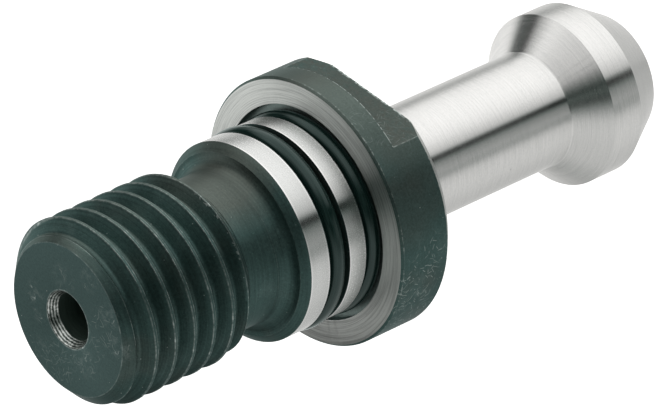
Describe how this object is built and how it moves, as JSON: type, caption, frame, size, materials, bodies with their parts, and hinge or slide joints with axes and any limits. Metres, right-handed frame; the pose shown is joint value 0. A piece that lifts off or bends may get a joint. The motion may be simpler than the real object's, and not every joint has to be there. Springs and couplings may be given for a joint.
{
  "type": "pull stud",
  "caption": "Pull stud for a steep-taper tool holder: threaded end, ground pilot with rubber rings, flange with wrench flats, stem and conical gripping head.",
  "frame": {"origin": "middle of the head's end face, on the stud's axis, where it stands", "axes": "+Z along the stud's axis from the head to the threaded end, +Y out of one wrench flat"},
  "size_m": [0.023, 0.023, 0.06],
  "materials": {
    "black_oxide_steel": "hardened alloy steel, black oxide with ground lands and contact face, circumferential turning marks",
    "ring_rubber": "matt black nitrile rubber"
  },
  "bodies": {
    "root": {"stud_body": "black_oxide_steel", "pilot_o_ring": "ring_rubber", "face_o_ring": "ring_rubber"}
  },
  "joints": []
}
